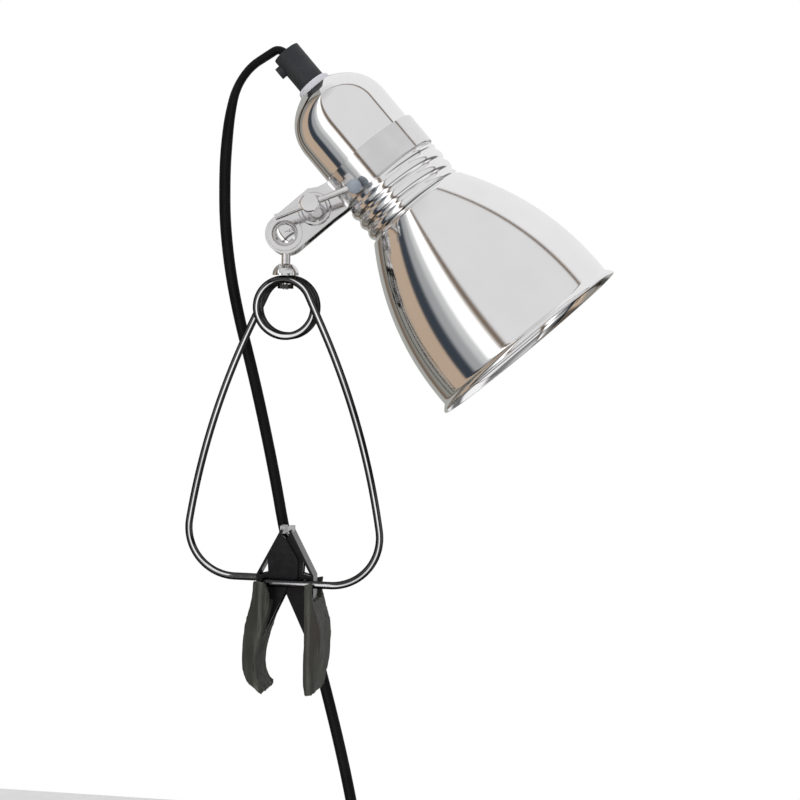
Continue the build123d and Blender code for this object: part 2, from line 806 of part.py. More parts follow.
# The turns lie in seven lanes, one in the middle and six round it. The cord comes in along
# one outer lane and leaves along the other, both on the coil's left side.
lane_pitch = cord_diameter + lane_clearance
wound_section_radius = lane_pitch + cord_diameter / 2
outer_lane_out = lane_pitch * cos(radians(30))
outer_lane_aside = lane_pitch * sin(radians(30))
last_run = Vector(route[-1]) - Vector(route[-2])
comes_in = Vector(last_run.X, 0, last_run.Z).normalized()
wound_centre = Vector(route[-1]) + Vector(-comes_in.Z, 0, comes_in.X) * (wound_radius + outer_lane_out)
wound_x = wound_centre.X
wound_y = wound_centre.Y - outer_lane_aside
wound_z = wound_centre.Z
wound_axis = Axis((wound_x, wound_y, wound_z), (0, 1, 0))
with BuildPart() as cord_coil:
    with BuildSketch(Plane.XY.offset(wound_z)):
        with Locations((wound_x - wound_radius, wound_y)):
            Circle(wound_section_radius)
    revolve(axis=wound_axis)
pieces["cord_coil"] = cord_coil

tie_turn = degrees(tie_width / wound_radius)
with BuildPart() as cord_tie:
    with BuildSketch(Plane.XY.offset(wound_z)):
        with Locations((wound_x + wound_radius, wound_y)):
            Circle(wound_section_radius + tie_clearance + tie_thickness)
            Circle(wound_section_radius + tie_clearance, mode=Mode.SUBTRACT)
    revolve(axis=wound_axis, revolution_arc=tie_turn)
pieces["cord_tie"] = cord_tie

tail_x = wound_x - wound_radius - outer_lane_out
tail_y = wound_y - outer_lane_aside
tail_end = wound_z - tail_length
with BuildPart() as cord_tail:
    with BuildSketch(Plane.XY.offset(tail_end)):
        with Locations((tail_x, tail_y)):
            Circle(cord_diameter / 2)
    extrude(amount=tail_length)
pieces["cord_tail"] = cord_tail

plug_top = tail_end - plug_relief_length
with BuildPart() as plug_body:
    with BuildSketch(Plane.XY.offset(plug_top)):
        with Locations((tail_x, tail_y)):
            RectangleRounded(plug_width * 0.55, plug_depth * 0.9, plug_corner)
    with BuildSketch(Plane.XY.offset(tail_end)):
        with Locations((tail_x, tail_y)):
            RectangleRounded(cord_diameter + 3.6, cord_diameter + 3.2, 3.8)
    loft()
    with BuildSketch(Plane.XY.offset(plug_top)):
        with Locations((tail_x, tail_y)):
            RectangleRounded(plug_width * 0.55, plug_depth * 0.9, plug_corner)
    with BuildSketch(Plane.XY.offset(plug_top - plug_height)):
        with Locations((tail_x, tail_y)):
            RectangleRounded(plug_width, plug_depth, plug_corner)
    loft()
pieces["plug_body"] = plug_body

with BuildPart() as plug_pins:
    with BuildSketch(Plane.XY.offset(plug_top - plug_height - pin_length)):
        with Locations((tail_x - pin_spacing / 2, tail_y), (tail_x + pin_spacing / 2, tail_y)):
            Circle(pin_radius)
    extrude(amount=pin_length)
    chamfer(plug_pins.faces().sort_by(Axis.Z)[:2].edges(), 0.8)
pieces["plug_pins"] = plug_pins

# ---- write -----------------------------------------------------------------------
os.makedirs("parts", exist_ok=True)
for name, piece in pieces.items():
    piece.part.label = name
    export_step(piece.part, "parts/" + name + ".step")

tube_length = cord_line.wires()[0].length
tube_volume = cord_tube.part.volume
short_of_turn = atan2(-comes_in.X, -comes_in.Z)
coil_length = (2 * pi * wound_turns + short_of_turn) * wound_radius
print("cord radii", [round(radius, 1) for radius in radii])
print("cord runs", [round((Vector(b) - Vector(a)).length, 1) for a, b in zip(route, route[1:])])
print("tube length", round(tube_length, 1), "volume", round(tube_volume, 1))
print("cord length", round(tube_length + coil_length + tail_length, 1), "wanted", cord_length)
print("coil centre", wound_x, wound_y, wound_z, "comes in", comes_in, "section", wound_section_radius)
print("ball centre", ball_centre, "ear normal", ear_normal)
print("head origin", head_origin, "direction", head_direction, "to ball", to_ball)
print("screw point", section.from_local_coords((screw_x, 0, 0)))
print("leg y", leg_y, "corner radius", corner_radius)
print("gland end", gland_end, "cap top", cap_top)
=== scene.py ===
import json
import math

import bmesh
import bpy
from mathutils import Matrix, Vector, noise

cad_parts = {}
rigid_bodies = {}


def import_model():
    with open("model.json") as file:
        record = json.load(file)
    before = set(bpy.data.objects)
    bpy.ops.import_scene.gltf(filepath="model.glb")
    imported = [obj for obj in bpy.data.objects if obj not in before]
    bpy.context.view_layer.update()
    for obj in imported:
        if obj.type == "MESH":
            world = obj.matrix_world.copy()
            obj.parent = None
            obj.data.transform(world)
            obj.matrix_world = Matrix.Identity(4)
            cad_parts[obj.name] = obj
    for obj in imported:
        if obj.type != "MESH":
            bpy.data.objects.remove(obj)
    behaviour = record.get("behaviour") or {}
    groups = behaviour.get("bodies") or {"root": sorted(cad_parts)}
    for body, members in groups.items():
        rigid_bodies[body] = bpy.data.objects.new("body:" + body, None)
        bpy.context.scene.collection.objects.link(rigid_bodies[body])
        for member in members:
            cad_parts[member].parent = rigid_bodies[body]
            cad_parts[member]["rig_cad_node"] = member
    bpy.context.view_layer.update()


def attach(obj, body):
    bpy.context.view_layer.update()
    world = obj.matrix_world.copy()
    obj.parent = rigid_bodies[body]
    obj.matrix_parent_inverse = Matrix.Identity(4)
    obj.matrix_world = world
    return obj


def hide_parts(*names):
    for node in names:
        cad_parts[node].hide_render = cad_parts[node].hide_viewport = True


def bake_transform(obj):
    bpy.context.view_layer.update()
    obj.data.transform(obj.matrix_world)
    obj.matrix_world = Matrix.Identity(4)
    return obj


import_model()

MM = 0.001
D = bpy.data
scene = bpy.context.scene


def rad(degrees):
    return math.radians(degrees)


# ---- sizes that the pieces share with the CAD, in millimetres -------------------------
CLIP_X, COIL_Z, COIL_R, WIRE_R = -2.3, 167.2, 13.2, 1.75
LEG_ANGLE, LEG_STRAIGHT, BOW_R, BOW_TURN = 25.0, 16.3, 345.0, 16.0
COIL_PITCH, COIL_TURNS = 6.6, 2 + 130 / 360
LEG_Y = COIL_TURNS * COIL_PITCH / 2
HOOK_X, HOOK_Z, HOOK_BEND = 9.0, 39.7, 3.0
BALL = Vector((-2.3, -3.3, 200.7))
ARM, DROOP, TWIST = 53.8, rad(48.4), rad(9.0)
AXIS = Vector((math.cos(DROOP), 0, -math.sin(DROOP)))
LEVEL = Vector((-math.sin(DROOP), 0, -math.cos(DROOP)))
FRONT = Vector((0, -1, 0))
TO_BALL = LEVEL * math.cos(TWIST) + FRONT * math.sin(TWIST)
EAR_OUT = FRONT * math.cos(TWIST) - LEVEL * math.sin(TWIST)
HEAD = BALL - TO_BALL * ARM
CORD_D, CORD_THICK = 5.6, 3.9

# ---- camera -------------------------------------------------------------------------
AZ, EL, ROLL = rad(10.0), rad(4.0), rad(1.2)
CAMERA_AT = Vector((233.7, -1031.5, 199.3))
# A focal length of 2282.6 picture elements, on a sensor 36 mm wide and a picture 800 wide.
CAMERA_LENS = 36.0 * 2282.6 / 800
back = Vector((math.sin(AZ) * math.cos(EL), -math.cos(AZ) * math.cos(EL), math.sin(EL)))
level_right = Vector((math.cos(AZ), math.sin(AZ), 0))
level_up = back.cross(level_right)
right = level_right * math.cos(ROLL) + level_up * math.sin(ROLL)
up = level_up * math.cos(ROLL) - level_right * math.sin(ROLL)
camera = D.objects.new("camera", D.cameras.new("camera"))
scene.collection.objects.link(camera)
camera.data.sensor_width = 36.0
camera.data.lens = CAMERA_LENS
camera.data.clip_start, camera.data.clip_end = 0.05, 20
turn = Matrix((right, up, back)).transposed().to_4x4()
camera.matrix_world = Matrix.Translation(CAMERA_AT * MM) @ turn
scene.camera = camera


# ---- node helpers -------------------------------------------------------------------
class Graph:
    """A material's node tree, with a short way to add and join nodes."""

    def __init__(self, name):
        self.material = D.materials.new(name)
        self.material.use_nodes = True
        self.tree = self.material.node_tree
        self.shader = self.tree.nodes["Principled BSDF"]

    def add(self, kind, inputs=(), **settings):
        node = self.tree.nodes.new("ShaderNode" + kind)
        for key, value in settings.items():
            setattr(node, key, value)
        for key, value in dict(inputs).items():
            if isinstance(value, bpy.types.NodeSocket):
                self.tree.links.new(value, node.inputs[key])
            else:
                node.inputs[key].default_value = value
        return node

    def put(self, socket, value):
        if isinstance(value, bpy.types.NodeSocket):
            self.tree.links.new(value, self.shader.inputs[socket])
        else:
            self.shader.inputs[socket].default_value = value

    def place(self, stretch=(1, 1, 1)):
        coordinates = self.add("TexCoord").outputs["Object"]
        return self.add("Mapping", {"Vector": coordinates, "Scale": stretch}).outputs["Vector"]

    def noise(self, scale, detail=4.0, stretch=(1, 1, 1), roughness=0.55):
        where = self.place(stretch)
        inputs = {"Vector": where, "Scale": scale, "Detail": detail, "Roughness": roughness}
        return self.add("TexNoise", inputs).outputs["Fac"]

    def ramp(self, value, stops, interpolation="LINEAR"):
        node = self.add("ValToRGB", {"Fac": value})
        node.color_ramp.interpolation = interpolation
        band = node.color_ramp.elements
        while len(band) < len(stops):
            band.new(0.5)
        for element, (position, colour) in zip(band, stops):
            element.position = position
            element.color = (*colour, 1.0) if len(colour) == 3 else colour
        return node.outputs["Color"]

    def grey(self, value, low, high, start=0.3, end=0.7):
        inputs = {"Value": value, "From Min": start, "From Max": end, "To Min": low, "To Max": high}
        return self.add("MapRange", inputs).outputs["Result"]

    def along_head(self):
        """The distance along the head's axis, in metres, at this point."""
        where = self.add("TexCoord").outputs["Object"]
        inputs = {0: where, 1: tuple(AXIS)}
        return self.add("VectorMath", inputs, operation="DOT_PRODUCT").outputs["Value"]

    def bump(self, height, strength, distance, bevel=0.0):
        inputs = {"Height": height, "Strength": strength, "Distance": distance * MM}
        if bevel:
            inputs["Normal"] = self.add("Bevel", {"Radius": bevel * MM}).outputs["Normal"]
        self.put("Normal", self.add("Bump", inputs).outputs["Normal"])


def metal(name, dark, light, rough, scale=120.0, bump=0.02, painted_dark_edge=False, spun=False, bevel=0.0):
    """Metal with a faint change of tone, and a roughness broken up by fine marks."""
    g = Graph(name)
    tone = g.noise(35.0, 3.0)
    g.put("Base Color", g.ramp(tone, [(0.35, dark), (0.65, light)]))
    g.put("Metallic", 1.0)
    if painted_dark_edge:
        # Painted dark edges: the grey edge tint darkens the grazing reflections and stands in for the dark
        # surroundings that the wire mirrors.
        g.put("Specular Tint", (0.1, 0.1, 0.1, 1.0))
    if spun:
        inputs = {"W": g.along_head(), "Scale": 2600.0, "Detail": 3.0}
        marks = g.add("TexNoise", inputs, noise_dimensions="1D").outputs["Fac"]
    else:
        marks = g.noise(scale, 6.0)
    g.put("Roughness", g.grey(marks, rough[0], rough[1]))
    if bump:
        g.bump(marks, bump, 0.05, bevel)
    return g.material


PLASTIC_GRAIN_DEPTH = 0.1


def plastic(name, dark, light, rough, scale=300.0, bump=0.15, bevel=0.0, shine=0.5):
    """Moulded plastic or rubber with a fine grain."""
    g = Graph(name)
    g.put("Base Color", g.ramp(g.noise(60.0, 4.0), [(0.35, dark), (0.65, light)]))
    grain = g.noise(scale, 5.0)
    g.put("Roughness", g.grey(grain, rough[0], rough[1]))
    g.bump(grain, bump, PLASTIC_GRAIN_DEPTH, bevel)
    g.put("Specular IOR Level", shine)
    return g.material


shade_metal = metal(
    "polished_shade",
    (0.89, 0.885, 0.885), (0.93, 0.92, 0.92), (0.06, 0.12), spun=True, bump=0.015,
)
cap_metal = metal(
    "polished_cap",
    (0.89, 0.885, 0.885), (0.93, 0.92, 0.92), (0.04, 0.09), spun=True, bump=0.01,
)
plate_metal = metal(
    "bright_plate",
    (0.74, 0.73, 0.73), (0.88, 0.87, 0.87), (0.05, 0.12), scale=500.0, bump=0.03, bevel=0.35,
)
# Bright chrome wire with a near-black base colour: painted dark reflections, plus painted dark edges from
# the edge tint.
painted_dark_wire_metal = metal(
    "bright_wire_painted_dark_reflections",
    (0.05, 0.05, 0.052), (0.08, 0.08, 0.08), (0.06, 0.1), scale=900.0, painted_dark_edge=True,
)
steel_metal = metal(
    "plain_steel",
    (0.46, 0.46, 0.47), (0.62, 0.62, 0.62), (0.25, 0.4), scale=700.0, bump=0.05,
)
# Near-black steel for the stud nut: painted shade, standing in for the shade under the coil's top.
painted_shade_steel = metal(
    "steel_painted_shade",
    (0.05, 0.05, 0.05), (0.10, 0.10, 0.10), (0.2, 0.3), scale=600.0, bevel=0.2,
)
brass_metal = metal(
    "stamped_brass",
    (0.60, 0.42, 0.17), (0.74, 0.55, 0.26), (0.2, 0.35), scale=500.0,
)
pin_metal = metal("plated_pins", (0.62, 0.60, 0.55), (0.78, 0.76, 0.70), (0.15, 0.28), scale=400.0)
bulb_metal = metal(
    "rolled_lamp_cap",
    (0.62, 0.61, 0.58), (0.78, 0.77, 0.73), (0.22, 0.4), scale=400.0,
)
jaw_paint = plastic(
    "black_enamel",
    (0.006, 0.006, 0.007), (0.014, 0.014, 0.015), (0.12, 0.24), 400.0, bump=0.08, bevel=0.3, shine=0.25,
)
gland_plastic = plastic(
    "black_plastic",
    (0.014, 0.016, 0.019), (0.024, 0.027, 0.031), (0.5, 0.68), 900.0,
)
collar_plastic = plastic(
    "pale_plastic",
    (0.62, 0.62, 0.67), (0.72, 0.72, 0.76), (0.35, 0.5), 600.0, bump=0.03,
)
knob_plastic = plastic(
    "blue_grey_plastic",
    (0.25, 0.29, 0.34), (0.36, 0.40, 0.45), (0.45, 0.6), 700.0,
)
cord_rubber = plastic(
    "black_sheath",
    (0.003, 0.003, 0.0035), (0.006, 0.006, 0.0065), (0.3, 0.42), 500.0, shine=0.12,
)
plug_rubber = plastic("black_plug", (0.012, 0.012, 0.013), (0.02, 0.02, 0.021), (0.45, 0.6), 700.0)
tie_plastic = plastic("soft_tie", (0.02, 0.02, 0.02), (0.035, 0.035, 0.035), (0.55, 0.7), 500.0)
porcelain = plastic(
    "glazed_porcelain",
    (0.82, 0.80, 0.74), (0.88, 0.87, 0.82), (0.12, 0.2), 250.0, bump=0.05,
)
copper_lead = metal(
    "copper_leads",
    (0.55, 0.25, 0.13), (0.68, 0.33, 0.18), (0.3, 0.45), scale=400.0,
)


def rubber_grip():
    g = Graph("streaked_rubber")
    streak = g.noise(240.0, 5.0, (1.0, 1.0, 0.05), 0.7)
    blotch = g.noise(45.0, 4.0, (1, 1, 0.5))
    base = g.ramp(blotch, [
        (0.3, (0.020, 0.019, 0.016)),
        (0.52, (0.036, 0.038, 0.030)),
        (0.72, (0.046, 0.038, 0.034)),
    ])
    pale = g.ramp(streak, [(0.48, (0.0, 0.0, 0.0)), (0.72, (0.10, 0.10, 0.085))])
    mixed = g.add("Mix", {"Factor": 1.0, "A": base, "B": pale}, data_type="RGBA", blend_type="ADD")
    g.put("Base Color", mixed.outputs["Result"])
    g.put("Roughness", g.grey(streak, 0.45, 0.75))
    g.bump(streak, 0.5, 0.25)
    g.put("Specular IOR Level", 0.25)
    return g.material


def frosted_glass():
    g = Graph("frosted_bulb")
    g.put("Base Color", g.ramp(g.noise(80.0), [(0.3, (0.93, 0.92, 0.89)), (0.7, (0.97, 0.96, 0.94))]))
    g.put("Roughness", g.grey(g.noise(900.0), 0.3, 0.45))
    g.put("Transmission Weight", 0.7)
    g.put("Subsurface Weight", 0.2)
    g.put("Coat Weight", 0.5)
    return g.material


grip_rubber = rubber_grip()
bulb_glass = frosted_glass()


# ---- mesh helpers -------------------------------------------------------------------
def piece(name, points, faces, material, smooth=True):
    """A mesh from points in millimetres, in the CAD frame."""
    mesh = D.meshes.new(name)
    mesh.from_pydata([tuple(Vector(p) * MM) for p in points], [], faces)
    mesh.validate()
    bm = bmesh.new()
    bm.from_mesh(mesh)
    bmesh.ops.recalc_face_normals(bm, faces=bm.faces)
    bm.to_mesh(mesh)
    bm.free()
    mesh.polygons.foreach_set("use_smooth", [smooth] * len(mesh.polygons))
    mesh.materials.append(material)
    made = D.objects.new(name, mesh)
    scene.collection.objects.link(made)
    return made


def grid_faces(rows, columns, close_rows=False):
    """Quads over rows of points. The columns always close; the rows close for a ring."""
    faces = []
    for i in range(rows if close_rows else rows - 1):
        for j in range(columns):
            k = (j + 1) % columns
            n = (i + 1) % rows
            faces.append((i * columns + j, i * columns + k, n * columns + k, n * columns + j))
    return faces


def around_head(radius, along, angle):
    aside = TO_BALL * math.cos(angle) + EAR_OUT * math.sin(angle)
    return HEAD + AXIS * along + aside * radius


def lathe(name, outline, material, sides=160, shape=None):
    """A closed outline of (radius, distance) turned about the head's axis."""
    points = []
    for radius, along in outline:
        for j in range(sides):
            angle = 2 * math.pi * j / sides
            grown = radius + (shape(along, angle) if shape else 0.0)
            points.append(around_head(grown, along, angle))
    return piece(name, points, grid_faces(len(outline), sides, close_rows=True), material)


def sweep(name, path, section, material, first_normal=None):
    """A closed section, or one for each point of the path, carried along it with capped ends."""
    sections = section if isinstance(section[0], list) else [section] * len(path)
    points, count = [], len(sections[0])
    normal = None
    for i, here in enumerate(path):
        ahead = (path[min(i + 1, len(path) - 1)] - path[max(i - 1, 0)]).normalized()
        if normal is None:
            normal = first_normal or ahead.orthogonal()
        normal = (normal - ahead * normal.dot(ahead)).normalized()
        aside = ahead.cross(normal)
        points += [here + normal * a + aside * b for a, b in sections[i]]
    faces = grid_faces(len(path), count)
    faces.append(tuple(range(count)))
    faces.append(tuple(range((len(path) - 1) * count, len(path) * count)))
    return piece(name, points, faces, material)


def ring(radius, sides):
    steps = [2 * math.pi * k / sides for k in range(sides)]
    return [(radius * math.cos(s), radius * math.sin(s)) for s in steps]


# ---- the cord -----------------------------------------------------------------------
CAP_TOP, GLAND_END = -43.8631, -65.0631
exit_bend = HEAD + AXIS * (GLAND_END - 3.6)
hanging = [Vector(p) for p in (
    (-23.1, 6.0, 278.0),
    (-29.9, 7.0, 268.3),
    (-32.9, 8.6, 256.5),
    (-34.9, 11.3, 245.0),
    (-36.8, 15.2, 229.0),
    (-38.2, 23.0, 202.0),
    (-35.0, 31.0, 169.0),
    (-25.6, 35.8, 131.0),
    (-15.6, 37.8, 86.0),
    (-9.6, 38.2, 54.0),
    (0.6, 38.2, 20.0),
    (11.6, 37.4, -17.0),
    (20.2, 36.4, -48.0),
    (26.4, 35.4, -74.0),
    (32.0, 35.0, -102.0),
    (36.2, 35.0, -128.0),
)]
# A second corner close to the first keeps the bend at the gland as tight as the real one.
route = [HEAD + AXIS * (GLAND_END + 5.0), exit_bend, exit_bend.lerp(hanging[0], 7.6 / 17.6)] + hanging
WOUND_R, LANE, TURNS, TAIL = 30.0, 5.7, 7, 40.0
comes_in = route[-1] - route[-2]
comes_in.y = 0
comes_in.normalize()
outer_lane = LANE * math.cos(rad(30))
wound = route[-1] + Vector((-comes_in.z, 0, comes_in.x)) * (WOUND_R + outer_lane)
wound.y -= LANE / 2
# Seven lanes across the winding: three at the back, the middle one, and three in front.
lanes = [(math.cos(rad(a)) * LANE, math.sin(rad(a)) * LANE) for a in (30, 90, 150)]
lanes += [(0.0, 0.0)] + [(math.cos(rad(a)) * LANE, math.sin(rad(a)) * LANE) for a in (-150, -90, -30)]
first = math.pi + math.atan2(comes_in.x, -comes_in.z)
PER_TURN = 18
total = TURNS * 2 * math.pi - math.atan2(comes_in.x, -comes_in.z)
steps = round(TURNS * PER_TURN)
keep_round = 1 / math.cos(math.pi / PER_TURN)
SHIFT, SPREAD = rad(50), rad(54)


def lane_at(travelled):
    """The place across the winding, outwards and to the back, after turning this far."""
    number = int(travelled // (2 * math.pi))
    angle = travelled - number * 2 * math.pi
    number = min(number, TURNS - 1)
    if number < TURNS - 1:
        middle = rad(328) - number * SPREAD
        share = min(1.0, max(0.0, (angle - middle) / SHIFT + 0.5))
        share = share * share * (3 - 2 * share)
        here, after = lanes[number], lanes[number + 1]
        return tuple(a + (b - a) * share for a, b in zip(here, after))
    return lanes[number]


controls = list(route)
for k in range(1, steps):
    travelled = total * k / steps
    out, rear = lane_at(travelled)
    radius = (WOUND_R + out) * keep_round
    a = first + travelled
    controls.append(wound + Vector((math.cos(a) * radius, rear, math.sin(a) * radius)))
tail_top = wound + Vector((-WOUND_R - outer_lane, -LANE / 2, 0))
controls += [tail_top, tail_top + Vector((0, 0, -TAIL / 2)), tail_top + Vector((0, 0, -TAIL))]

spline_data = D.curves.new("cord_line", "CURVE")
spline_data.dimensions = "3D"
spline = spline_data.splines.new("NURBS")
spline.points.add(len(controls) - 1)
for point, where in zip(spline.points, controls):
    point.co = (*(where * MM), 1.0)
spline.order_u = 3
spline.use_endpoint_u = True
spline.resolution_u = 6
cord_curve = D.objects.new("cord_line", spline_data)
scene.collection.objects.link(cord_curve)
line_mesh = D.meshes.new_from_object(cord_curve)
path = [v.co / MM for v in line_mesh.vertices]
D.objects.remove(cord_curve)


def cord_section(quarter):
    """Two cores side by side in one flat sheath, turned by this angle about the cord."""
    out = []
    for k in range(32):
        a = 2 * math.pi * k / 32
        across = CORD_D / 2 * math.cos(a)
        aside = CORD_THICK / 2 * math.sin(a) * (1.0 + 0.16 * math.cos(a) ** 2)
        out.append((
            across * math.cos(quarter) - aside * math.sin(quarter),
            across * math.sin(quarter) + aside * math.cos(quarter),
        ))
    return out


TWIST_FROM, TWIST_OVER = 12.0, 60.0


def cord_twist(travelled):
    """The cord leaves the gland edge-on to the front and turns flat as it hangs."""
    share = min(1.0, max(0.0, (travelled - TWIST_FROM) / TWIST_OVER))
    return rad(90) * (1 - share * share * (3 - 2 * share))


travelled, sections = 0.0, []
for k, point in enumerate(path):
    travelled += (point - path[k - 1]).length if k else 0.0
    sections.append(cord_section(cord_twist(travelled)))
in_picture = (AXIS.cross(FRONT)).normalized()
cord = sweep("cord", path, sections, cord_rubber, in_picture)
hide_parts("cord_tube", "cord_coil", "cord_tail")
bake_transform(cord)

# ---- the wire -----------------------------------------------------------------------
COIL_STEPS = 96
WIRE_JOINT_GAP = 0.3
HOOK_REACH = {1: 4.5, -1: 2.9}


def wire_path(side):
    """The wire from the top of the coil's middle turn to its hook. side is 1 for the right leg."""
    out = []
    slope, low = rad(LEG_ANGLE), rad(LEG_ANGLE - BOW_TURN)
    turns = COIL_TURNS * 2 * math.pi / 2
    for k in range(COIL_STEPS + 1):
        gone = k / COIL_STEPS
        angle = math.pi / 2 - side * gone * turns
        y = -side * LEG_Y * gone
        out.append(Vector((CLIP_X + COIL_R * math.cos(angle), y, COIL_Z + COIL_R * math.sin(angle))))
    here = Vector((out[-1].x, out[-1].z))
    heading = math.atan2(-math.cos(slope), side * math.sin(slope))
    y = -side * LEG_Y

    def run(length, count):
        nonlocal here
        for _ in range(count):
            here = here + Vector((math.cos(heading), math.sin(heading))) * (length / count)
            out.append(Vector((here.x, y, here.y)))

    def bend(radius, turn, count):
        nonlocal here, heading
        for _ in range(count):
            step = turn / count
            chord = 2 * radius * math.sin(abs(step) / 2)
            heading += step / 2
            here = here + Vector((math.cos(heading), math.sin(heading))) * chord
            heading += step / 2
            out.append(Vector((here.x, y, here.y)))

    run(LEG_STRAIGHT + WIRE_JOINT_GAP, 10)
    bend(BOW_R, -side * rad(BOW_TURN), 40)
    corner = (here.y - HOOK_Z) / (1 + math.sin(low))
    bend(corner, -side * (math.pi / 2 + low), 36)
    end_x = -side * (HOOK_X - HOOK_BEND)
    for k in range(1, 21):
        out.append(Vector((here.x + (end_x - here.x) * k / 20, y, HOOK_Z)))
    for k in range(1, 13):
        a = math.pi / 2 * k / 12
        x = end_x - side * HOOK_BEND * math.sin(a)
        out.append(Vector((x, y + side * HOOK_BEND * (1 - math.cos(a)), HOOK_Z)))
    reach = side * HOOK_REACH[side]
    last = out[-1].y
    for k in range(1, 7):
        out.append(Vector((-side * HOOK_X, last + (reach - last) * k / 6, HOOK_Z)))
    return out


for side, name, body, replaced in (
    (1, "wire_right", "leg_right", ("leg_right", "spring_coil")),
    (-1, "wire_left", "leg_left", ("leg_left",)),
):
    wire = sweep(name, wire_path(side), ring(WIRE_R, 28), painted_dark_wire_metal)
    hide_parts(*replaced)
    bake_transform(wire)

# ---- shade --------------------------------------------------------------------------
NECK_START, NECK_R, RIDGE, PITCH, RIDGE_W = 10.0, 24.0, 1.05, 5.9, 4.9
THREAD_MARGIN, THREAD_END, THREAD_FADE = 0.6, 29.4, 1.8
BELL_START, BELL_END = 29.7, 106.8
BELL = ((BELL_START, 25.7), (66.4, 42.6), (BELL_END, 47.6))
WALL = 1.0
NECK_STEP, BELL_STEPS = 0.35, 60


def circle_through(a, b, c):
    """The centre and radius of the circle through three points."""
    (ax, ay), (bx, by), (cx, cy) = a, b, c
    d = 2 * (ax * (by - cy) + bx * (cy - ay) + cx * (ay - by))
    aa, bb, cc = ax**2 + ay**2, bx**2 + by**2, cx**2 + cy**2
    ux = (aa * (by - cy) + bb * (cy - ay) + cc * (ay - by)) / d
    uy = (aa * (cx - bx) + bb * (ax - cx) + cc * (bx - ax)) / d
    return (ux, uy), math.hypot(ax - ux, ay - uy)


bell_centre, bell_radius = circle_through(*BELL)


def bell_r(along):
    """The bell's outside radius at this distance along the head's axis."""
    return bell_centre[1] + math.sqrt(bell_radius**2 - (along - bell_centre[0]) ** 2)


def thread(along, angle):
    """The screw thread rolled into the neck: one helical ridge that fades at both ends."""
    if along < NECK_START + THREAD_MARGIN or along > THREAD_END:
        return 0.0
    place = (along - NECK_START - 1.0 - PITCH * angle / (2 * math.pi)) % PITCH - PITCH / 2
    lobe = max(0.0, 1 - (2 * place / RIDGE_W) ** 2)
    fade = min(1.0, (along - NECK_START - THREAD_MARGIN) / THREAD_FADE, (THREAD_END - along) / THREAD_FADE)
    return RIDGE * lobe * max(0.0, fade)


neck_steps = int((29.0 - NECK_START) / NECK_STEP) + 1
outer = [(NECK_R, NECK_START + k * NECK_STEP) for k in range(neck_steps)]
for k in range(BELL_STEPS + 1):
    level = BELL_START + (BELL_END - BELL_START) * k / BELL_STEPS
    outer.append((bell_r(level), level))
# The rolled lip, from the outside round to the inside.
outer += [(48.3, 107.3), (49.2, 108.2), (49.85, 109.0), (50.0, 109.5)]
outer += [(49.9, 110.0), (49.5, 110.1), (49.0, 109.9)]
inner = [(48.4, 109.2), (47.5, 108.2), (46.9, 107.2)]
for k in range(BELL_STEPS + 1):
    level = 106.0 - (106.0 - 30.2) * k / BELL_STEPS
    inner.append((bell_r(level) - WALL, 106.4 - (106.4 - 30.6) * k / BELL_STEPS))
inner += [(NECK_R - WALL, 29.0 - k * NECK_STEP) for k in range(neck_steps)]
shade = lathe("shade_bell", outer + inner, shade_metal, sides=240, shape=thread)
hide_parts("shade")
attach(shade, "head")

# ---- socket cap ---------------------------------------------------------------------
# The control points of the cap's domed shoulder, as (radius, distance).
shoulder = [Vector(p) for p in ((23.5, -22.5), (23.5, -33.5), (17.0, -39.5), (9.3, CAP_TOP + 0.5))]


def dome(share):
    """A point of the shoulder's outline, from the cap's straight side to its top."""
    a, b, c, d = shoulder
    left = 1 - share
    return a * left**3 + b * 3 * left**2 * share + c * 3 * left * share**2 + d * share**3


outline = [(22.8, 24.0), (22.8, 10.2), (23.5, 9.5)]
outline += [(23.5, 9.5 - 32.0 * k / 16) for k in range(1, 16)]
outline += [tuple(dome(k / 48)) for k in range(49)]
outline += [(8.8, CAP_TOP + 0.15), (8.2, CAP_TOP), (4.1, CAP_TOP)]
outline += [(4.1, CAP_TOP + 1.0), (8.0, CAP_TOP + 1.1)]
outline += [(dome(1 - k / 12).x - 0.8, dome(1 - k / 12).y + 0.8) for k in range(1, 12)]
outline += [(22.5, 9.0), (21.8, 10.2), (21.8, 24.0)]
cap = lathe("socket_cap_shell", outline, cap_metal, sides=200)
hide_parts("socket_cap")
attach(cap, "head")

# ---- grips ----------------------------------------------------------------------------
nodes = {o.get("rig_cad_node"): o for o in D.objects if "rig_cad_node" in o}
GRIP_VOXEL = 0.8
WAVE_INSET = 0.28             # keeps the waves inside the grip's plain shape
RAGGED_FROM, RAGGED_OVER = -6.0, 5.0


